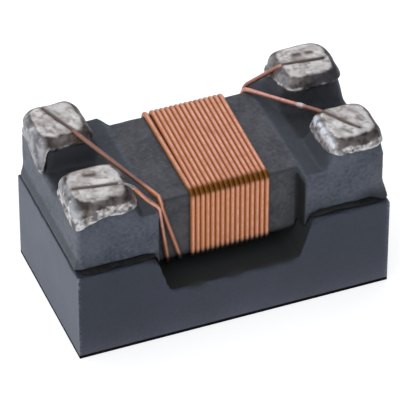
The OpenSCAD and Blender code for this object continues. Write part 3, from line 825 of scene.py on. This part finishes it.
def tin_cap(sx, sy, cap):
    """Tin cap on a leg: rings of a rounded square, from the pad's middle over its shoulder down to the rim.

    Below the pad a ring's inset is that of a quarter circle at the ring's depth, and a bead stands out above
    the rim. The rim droops to the core's end. Lumps and folds come from noise along the surface's direction,
    and an inner skin within the leg closes the shell.
    """
    outer, inner, side, valley = cap["reach"]
    tip, tip_side = cap["tip"]
    top = PAD_Z - PAD_UNDER
    turn = np.linspace(0.0, 2 * np.pi, CAP_SIDES, endpoint=False)
    c, s = np.cos(turn), np.sin(turn)
    square = (np.abs(c) ** 4 + np.abs(s) ** 4) ** -0.25
    # Directions on the pad: ux towards the core's end, uy away from the valley
    ux, uy = c * square, s * square
    half_x = LEG_HALF_X + np.where(ux > 0, outer, inner)
    half_y = LEG_HALF_Y + np.where(uy > 0, side, valley)
    rim = cap_rim(cap, ux, uy)

    flat = np.linspace(0.0, 1.0, 30)[1:, None]
    depth = eased_steps(34)[1:, None] * (top - rim)[None, :]
    drop = np.clip(1 - depth / CAP_BEND, 0.0, 1.0)
    inset = CAP_BEND * np.concatenate([1 + 0 * flat * ux, 1 - np.sqrt(1 - drop ** 2)])
    z = np.concatenate([top + 0 * flat * ux, top - depth])
    above = z - rim
    bead = BEAD_OUT * np.exp(-((above - BEAD_HIGH) / BEAD_HALF) ** 2)
    bead = bead - LIP_IN * (1 - smooth(above / LIP_HIGH))
    lean = np.where(ux > 0, 0.0, LEAN_IN) * np.clip((z - SHOULDER) / (PAD_Z - SHOULDER), 0, 1)
    flare = FLARE_LOW * (1 - smooth((z - SHOULDER + 0.02) / 0.2))
    at_corner = np.minimum((ux * uy) ** 2 / 0.5, 1)
    fuller = np.where(ux > 0, FULL_OUTER + FULL_TIP * tip * (uy * tip_side > 0), FULL_INNER)
    corner = 1 + fuller * at_corner * (1 - smooth((z - SHOULDER + 0.02) / 0.3))
    share = np.concatenate([flat + 0 * ux, np.ones_like(depth)])
    lx = share * ux * corner * (half_x - inset - lean + bead + flare * (ux < 0))
    ly = share * uy * corner * (half_y - inset + bead + flare * (uy < 0))
    mid = np.array([sx * LEG_X, CORE_MID + sy * LEG_Y])
    loops = np.stack([mid[0] + sx * lx, mid[1] + sy * ly, z], axis=2)
    lip = loops[-1]
    shrink, climb = np.array(SKIN_SHRINK)[:, None], np.array(SKIN_CLIMB)[:, None]
    skin = np.stack([mid[0] + (lip[:, 0] - mid[0]) * shrink, mid[1] + (lip[:, 1] - mid[1]) * shrink,
                     lip[:, 2] + (PAD_Z - SKIN_UNDER - lip[:, 2]) * climb], axis=2)
    ends = np.array([[*mid, top], [*mid, PAD_Z - SKIN_UNDER - 0.005]])
    points, quads = capped(np.concatenate([loops, skin]), ends)

    def for_all(rings, of_skin, of_pad):
        """A number for each point of the rings, and one each for the skin and the pad's middle."""
        return np.concatenate([rings.ravel(), np.full(skin[:, :, 0].size, of_skin), [of_pad, of_skin]])

    tilt = np.concatenate([0 * flat * ux, np.degrees(np.arccos(drop))])
    pale = for_all(1 - smooth((tilt - 4) / 36), 0.0, 1.0)
    inner_bead, outer_bead, tall = cap["bead"]
    strength = inner_bead + (outer_bead - inner_bead) * smooth((ux + 1) / 2)
    rim_share = for_all(strength * (1 - smooth((above - tall + 0.03) / 0.06)), 0.0, 0.0)
    outside = for_all(np.ones_like(z), 0.0, 1.0)
    # Painted shade on the shoulder towards the outer end
    painted_shoulder_shade = for_all(cap["painted_shoulder_shade"] * smooth(ux + 0.6) + 0 * z, 0.0, 0.0)
    out = normals(points, quads)
    out *= np.sign(np.einsum("ij,ij->i", out, points - np.array([*mid, SHOULDER])))[:, None]
    # Painted light on the faces turned to the left
    painted_left_light = cap["painted_left_light"] * smooth((-out[:, 0] - 0.3) / 0.4) * outside
    lumps = rough(points, 0.16, cap["seed"] + 40, 2) - 0.5
    folds = -np.abs(noise(points, 0.055, cap["seed"] + 60))
    uneven = LUMPS * lumps + (FOLDS + RIM_FOLDS * rim_share) * folds
    points = points + out * (outside * uneven)[:, None]

    groove, marks = wire_marks(sx, sy, cap, points)
    points[:, 2] = np.minimum(points[:, 2] - GROOVE * groove * outside, PAD_Z)
    points[:, :2] = np.clip(points[:, :2], [-PLATE_X, -PLATE_Y], [PLATE_X, PLATE_Y])
    return points, quads, {"pale": pale, "painted_left_light": painted_left_light, "bead": rim_share, "painted_shoulder_shade": painted_shoulder_shade, **marks}


# Each cap: its side of the middle; its reach past the leg at the outer end, inner end, outer side and
# valley side; its rim's height over the shoulder at the outer side, in the valley and at the outer end, and
# where along the leg it droops to that end; its lowest tip and on which side that is; its bead's strength at
# the inner and outer end and its height; how much painted light its left-facing faces get and how much
# painted shade darkens its shoulder; and marks beside the wire, as offset, place and half length along it,
# strength and width, where those at offset 0 past the pad are a painted shadow under the wire
CAPS = {
    "front_left": {
        "at": (-1, -1), "reach": (0.03, 0.032, 0.03, 0.025), "rim": (0.14, 0.14, 0.05), "droop": (0.2, 0.9),
        "tip": (0.015, 1), "bead": (0.85, 0.9, 0.12), "painted_left_light": 0.85, "painted_shoulder_shade": 0.0, "seed": 3,
        "marks": [(0.17, 0.42, 0.15, 0.95, 0.034)]},
    "back_left": {
        "at": (-1, 1), "reach": (0.015, -0.01, 0.02, 0.02), "rim": (0.12, 0.2, 0.03), "droop": (0.66, 0.84),
        "tip": (0.04, -1), "bead": (0.7, 0.6, 0.04), "painted_left_light": 0.8, "painted_shoulder_shade": 0.0, "seed": 11,
        "marks": [(0.08, 0.64, 0.06, 0.5, 0.017), (-0.106, 0.71, 0.1, 0.4, 0.017),
                  (0.0, 1.12, 0.12, 0.75, 0.06)]},
    "front_right": {
        "at": (1, -1), "reach": (0.015, -0.01, 0.015, 0.02), "rim": (0.17, 0.15, 0.15), "droop": (0.85, 1.0),
        "tip": (0.0, 1), "bead": (0.65, 0.75, 0.08), "painted_left_light": 1.5, "painted_shoulder_shade": 0.0, "seed": 23,
        "marks": [(-0.11, 0.18, 0.1, 0.7, 0.022), (0.112, 0.16, 0.14, 0.7, 0.022)]},
    "back_right": {
        "at": (1, 1), "reach": (0.01, 0.03, 0.02, 0.02), "rim": (0.12, 0.2, 0.21), "droop": (0.85, 1.0),
        "tip": (0.0, 1), "bead": (0.8, 0.0, 0.05), "painted_left_light": 0.5, "painted_shoulder_shade": 0.8, "seed": 31,
        "marks": [(-0.113, 0.27, 0.1, 0.95, 0.028), (-0.113, 0.56, 0.1, 1.0, 0.03),
                  (0.0, 1.12, 0.16, 0.85, 0.07)]},
}
for place, cap in CAPS.items():
    points, quads, marks = tin_cap(*cap["at"], cap)
    piece("tin_cap_" + place, points, quads, TIN, "terminal_" + place, marks)


# Windings

LIE = WIRE_R + WIRE_FIT
WRAP = BEAM_ROUND + LIE
# The left leads' bends stand a little aside from the source's, so that the two run side by side
LEAD_LEFT, LEAD_BACK, LEAD_RIGHT = 0.012, 0.045, 0.018
# The right leads' bends lie close on the core's edge: share of the wire's distance, and how much lower
BEND_ASIDE, BEND_LOW = 0.4, 0.014
WIRE_SIDES, ROUTE_STEP = 16, 0.03
# Lacquer's thickness; on the pads the wire rises and thins, on the leads it thins and at the blob it thickens
LACQUER, PRESSED_UP, PRESSED_THIN, LEAD_THIN, BLOB_MORE = 0.0011, 0.009, 0.4, 0.12, 0.3
# Way from a pad to the tin blob, to the solder's end, to the first lead's lifted place and to the lead's end
BLOB_AT, SOLDER_TO, LIFT_AT, LEAD_TO = 0.27, 0.19, 0.15, 1.0
BLOB_HALF, LIFT_HALF, LIFT = 0.045, 0.11, 0.05
# The close turns end here, and this much more flank share, as painted shade, is added in front
TURNS_TO, FRONT_SHADE = 0.62, 0.05
# Darker brown of the left and right leads of the first and second wire, more at the right end, and painted
# shade on the leads in front
LEAD_BROWN_LEFT, LEAD_BROWN_RIGHT, LEAD_BROWN_END, FRONT_LEAD_SHADE = (0.05, 0.8), (0.1, 0.6), (0.7, 0.0), 0.5
# Tin on all ends but the front left one, and how far tin is blotched like a pressed end
TINNED_LESS, BLOTCHED = 0.3, 0.52
# Painted dark reflection, brown, on the bends at the beam's front and back edge, as strength and reach
BEND_FRONT, BEND_BACK = (1.5, 0.05), (0.6, 0.04)
# Height over the beam's underside below which leads and turns get painted shade
SHADE_LEADS, SHADE_TURNS = 0.12, 0.095
BEAM_MIDDLE = np.array([0.0, (BEAM_FRONT + BEAM_BACK) / 2, (SHOULDER + BEAM_LOW) / 2])
BEAM_HALF = np.array([0.0, (BEAM_BACK - BEAM_FRONT) / 2, (SHOULDER - BEAM_LOW) / 2])


def edge_arc(x, edge, steps=7):
    """Wire round one edge of the beam: a quarter circle in y and z.

    The edges run back top, front top, front low, back low.
    """
    y = BEAM_BACK - BEAM_ROUND if edge in (0, 3) else BEAM_FRONT + BEAM_ROUND
    z = SHOULDER - BEAM_ROUND if edge < 2 else BEAM_LOW + BEAM_ROUND
    a = np.pi / 2 * (edge + np.linspace(0.0, 1.0, steps))
    return np.stack([np.full(steps, x), y + WRAP * np.cos(a), z + WRAP * np.sin(a)], axis=1)


def eased(line, steps=9):
    """Line whose inner points become blends between points a bending length before and after them."""
    p = line[1:-1]
    back, on = line[:-2] - p, line[2:] - p
    shorter = np.minimum(np.linalg.norm(back, axis=1), np.linalg.norm(on, axis=1))
    reach = np.minimum(LEAD_BEND, shorter / 2)[:, None]
    a, b = p + reach * unit(back), p + reach * unit(on)
    t = np.linspace(0.0, 1.0, steps)[None, :, None]
    curve = blend(a[:, None], p[:, None], b[:, None], t)
    return np.concatenate([line[:1], curve.reshape(-1, 3), line[-1:]])


def lead_over(sx, w):
    """Points over which a lead comes down from its terminal."""
    if sx > 0:
        foot = np.array([WINDOW_X - ROOT_OUT, BEAM_BACK])
        root = np.array([WINDOW_X + ROOT_IN, CORE_BACK]) - foot
        p = foot + TAIL_SHARE[w] * root + BEND_ASIDE * LIE * unit(np.array([-root[1], root[0]]))
        return np.array([[*p, SHOULDER + LIE - BEND_LOW]])
    if w == 0:
        return np.array([[LIE - WINDOW_X - LEAD_LEFT, CORE_FRONT + LIE + LEAD_BACK, SHOULDER + LIE]])
    return edge_arc(LEFT_OVER - WINDOW_X + LEAD_RIGHT, 1)


def wire_route(w):
    """Route of one wire: pad, lead, close turns along the beam, lead, pad."""
    on_pad = [np.column_stack([pad_line(sx, 2 * w - 1), np.full(2, PAD_Z - WIRE_R)]) for sx in (-1, 1)]
    under = np.concatenate([edge_arc(LEAD_FRONT[w] - WINDOW_X, 2), edge_arc(LEAD_BEHIND[w] - WINDOW_X, 3)])
    start = eased(np.concatenate([on_pad[0], lead_over(-1, w), under[:1]]))[:-1]
    turns = []
    for k in range(CLOSE_TURNS):
        j = 2 * k + w
        x = FIRST_TURN - WINDOW_X + j * PITCH
        behind = WINDOW_X - TAIL_BEHIND[w] if k == CLOSE_TURNS - 1 else x + UNDER_STEP
        apart = FIRST_SPREAD if j == 0 else 0.0
        turns += [edge_arc(x + TOP_STEP - apart, 0), edge_arc(x, 1), edge_arc(x, 2), edge_arc(behind, 3)]
    end = eased(np.concatenate([turns[-1][-1:], lead_over(1, w), on_pad[1][::-1]]))[1:]
    return cut_even(np.concatenate([start, under, *turns, end]), ROUTE_STEP)


def tube(route, radius):
    """Round tube along a route, and how far each point lies down the flank: 0 outermost, 1 at the side.

    A ring starts on the side away from the beam and turns about the route's direction.
    """
    way = unit(np.gradient(route, axis=0))
    from_middle = route - BEAM_MIDDLE
    away = from_middle - np.clip(from_middle, BEAM_ROUND - BEAM_HALF, BEAM_HALF - BEAM_ROUND)
    away[:, 0] = 0.0
    away = unit(away - np.einsum("ij,ij->i", away, way)[:, None] * way)
    a = np.linspace(0, 2 * np.pi, WIRE_SIDES, endpoint=False)[None, :, None]
    ring = np.cos(a) * away[:, None] + np.sin(a) * np.cross(way, away)[:, None]
    flank = np.broadcast_to(1 - np.maximum(np.cos(a[0, :, 0]), 0), (len(route), WIRE_SIDES))
    points, quads = capped(route[:, None] + radius[:, None, None] * ring, route[[0, -1]])
    return points, quads, np.append(flank.ravel(), [0.0, 0.0])


def for_rings(values):
    """A number for each ring of a tube, given to all its points and to the two end points."""
    return np.concatenate([np.repeat(values, WIRE_SIDES), values[[0, -1]]])


def wire(w):
    """One wire: pressed thin on its pads and a little slimmer on its leads.

    The first one's left lead is lifted over its cap's shoulder, and its right lead has a tin blob.
    """
    route = wire_route(w)
    far = lengths(route)
    on_pad = [np.linalg.norm(np.diff(pad_line(sx, 2 * w - 1), axis=0)) for sx in (-1, 1)]
    left = far < far[-1] / 2
    past = np.where(left, far - on_pad[0], far[-1] - on_pad[1] - far)
    front_left = left & (w == 0)
    pressed = smooth((0.01 - past) / 0.06)
    lead = smooth((LEAD_TO - past) / 0.2)
    blob = np.exp(-((past - BLOB_AT) / BLOB_HALF) ** 4) * ~left * (w == 0)
    tinned = smooth((SOLDER_TO - past) / 0.08) * np.where(front_left, 1.0, TINNED_LESS)
    lifted = np.exp(-((past - LIFT_AT) / LIFT_HALF) ** 2) * front_left
    route[:, 2] += PRESSED_UP * pressed + LIFT * lifted
    blotched = np.maximum(pressed, BLOTCHED * tinned)
    radius = (WIRE_R + LACQUER) * (1 - PRESSED_THIN * pressed) * (1 - LEAD_THIN * lead)
    radius = radius * (1 + BLOB_MORE * blob)
    points, quads, flank = tube(route, radius)
    points[:, 2] = np.minimum(points[:, 2], PAD_Z)

    near_end = smooth((BLOB_AT - past) / 0.06)
    # Darker brown on some leads, and painted shade on the leads' front stretch
    lead_brown_and_shade = lead * np.where(left, LEAD_BROWN_LEFT[w], LEAD_BROWN_RIGHT[w] + LEAD_BROWN_END[w] * near_end)
    on_front = smooth((SHOULDER - 0.02 - route[:, 2]) / 0.1) * (route[:, 0] < -0.42)
    lead_brown_and_shade = np.maximum(lead_brown_and_shade, FRONT_LEAD_SHADE * on_front)
    x, y, z = points.T
    close = for_rings(1 - lead) * smooth((TURNS_TO - x) / 0.1)
    # Painted dark reflection on the bends over the beam's front and back edge
    front_top = (y - BEAM_FRONT + 0.015) ** 2 + (z - SHOULDER - 0.03) ** 2
    back_top = (y - BEAM_BACK - 0.03) ** 2 + (z - SHOULDER - 0.03) ** 2
    (in_front, front_reach), (behind, back_reach) = BEND_FRONT, BEND_BACK
    bend = in_front * np.exp(-front_top / front_reach ** 2) + behind * np.exp(-back_top / back_reach ** 2)
    bend = bend * close
    bend = bend * smooth((x - FIRST_TURN + WINDOW_X + 0.06) / 0.03)
    # Painted shade down in the gap below these heights
    shade_from = np.where(x < LEFT_OVER - WINDOW_X + 0.25, SHADE_LEADS, SHADE_TURNS)
    # Painted shade on the turns' front, below the shoulder
    front_shade = FRONT_SHADE * close * (y < BEAM_FRONT) * smooth((SHOULDER - z) / 0.08)
    # The flank share carries the lacquer's tint and painted shade toward the grooves
    return points, quads, {
        "flank": flank * (0.25 * (x < 0) + 0.75 * close) + front_shade,
        "painted_shade": smooth((BEAM_LOW + shade_from - z) / 0.06), "bend": np.clip(bend, 0, 1),
        "tinned": for_rings(np.maximum(tinned, blob)), "pressed": for_rings(blotched),
        "lead_brown_and_shade": for_rings(lead_brown_and_shade * (1 - blob))}


for w, word in ((0, "first"), (1, "second")):
    points, quads, marks = wire(w)
    piece("wire_" + word, points, quads, COPPER, "winding_" + word, marks)


# Floor, light and camera

# Half the floor's side in metres, and how much it shines where it is seen
FLOOR_HALF, FLOOR_SHINE = 2.0, 0.64
# Lights: the way to each, the cosines between which it rises, and its strength; and the even level
LIGHTS = [
    ((-0.6, -0.2, 0.75), 0.4, 0.9, 0.9),
    ((0.1, 0.85, 0.5), 0.5, 0.85, 0.75),
    ((0.1, -0.95, 0.25), 0.3, 0.95, 0.4),
]
EVEN_LEVEL = 0.2
# Line of sight in degrees, lens, and in millimetres the aim's height, left and down shift and distance
AZIMUTH, ELEVATION = -21.426, 39.533
SENSOR, LENS = 36.0, 360.0
AIM_HEIGHT, AIM_LEFT, AIM_DOWN, DISTANCE = 0.9, 0.0303, 0.0462, 38.76


def pale_floor():
    """Plain floor, white to the camera and in reflections, that keeps the part's shadow."""
    mesh = bpy.data.meshes.new("floor")
    r = FLOOR_HALF
    mesh.from_pydata([(-r, -r, 0), (r, -r, 0), (r, r, 0), (-r, r, 0)], [], [(0, 1, 2, 3)])
    floor = bpy.data.objects.new("floor", mesh)
    bpy.context.scene.collection.objects.link(floor)
    made, tree, shader = new_material("floor_pale", {"Base Color": (0.62, 0.62, 0.62, 1), "Roughness": 0.9})
    path = tree.nodes.new("ShaderNodeLightPath")
    seen = sum_up("MAXIMUM", path.outputs["Is Glossy Ray"], path.outputs["Is Transmission Ray"])
    seen = sum_up("MAXIMUM", path.outputs["Is Camera Ray"], seen)
    shader.inputs["Emission Color"].default_value = (1, 1, 1, 1)
    link(sum_up("MULTIPLY", seen, FLOOR_SHINE), shader.inputs["Emission Strength"])
    mesh.materials.append(made)


def soft_light():
    """World of a low even level and wide soft lights, brighter with the cosine to each light's middle."""
    world = bpy.data.worlds.new("studio")
    bpy.context.scene.world = world
    world.use_nodes = True
    tree = world.node_tree
    coords = tree.nodes.new("ShaderNodeTexCoord")
    level = EVEN_LEVEL
    for way, low, high, strength in LIGHTS:
        light = tree.nodes.new("ShaderNodeVectorMath")
        light.operation = "DOT_PRODUCT"
        light.inputs[1].default_value = Vector(way).normalized()
        link(coords.outputs["Generated"], light.inputs[0])
        level = sum_up("ADD", spread(light.outputs["Value"], low, high, 0.0, strength), level)
    link(level, tree.nodes["Background"].inputs["Strength"])
    tree.nodes["Background"].inputs["Color"].default_value = (0.95, 0.985, 1.03, 1)


def camera():
    """Long lens on the photograph's line of sight, aimed a little left of and below the part's middle."""
    azimuth, elevation = np.radians([AZIMUTH, ELEVATION])
    flat = np.array([np.sin(azimuth), -np.cos(azimuth), 0.0])
    back = flat * np.cos(elevation) + [0.0, 0.0, np.sin(elevation)]
    right = np.array([np.cos(azimuth), np.sin(azimuth), 0.0])
    up = np.cross(back, right)
    aim = np.array([0.0, 0.0, AIM_HEIGHT]) - AIM_LEFT * right - AIM_DOWN * up
    data = bpy.data.cameras.new("camera")
    data.sensor_width, data.lens = SENSOR, LENS
    data.clip_start, data.clip_end = 0.001, 10.0
    made = bpy.data.objects.new("camera", data)
    bpy.context.scene.collection.objects.link(made)
    turn = Matrix(np.stack([right, up, back], axis=1).tolist()).to_4x4()
    made.matrix_world = Matrix.Translation(((aim + DISTANCE * back) * MM).tolist()) @ turn
    bpy.context.scene.camera = made


pale_floor()
soft_light()
camera()
bpy.context.scene.view_settings.view_transform = "Standard"
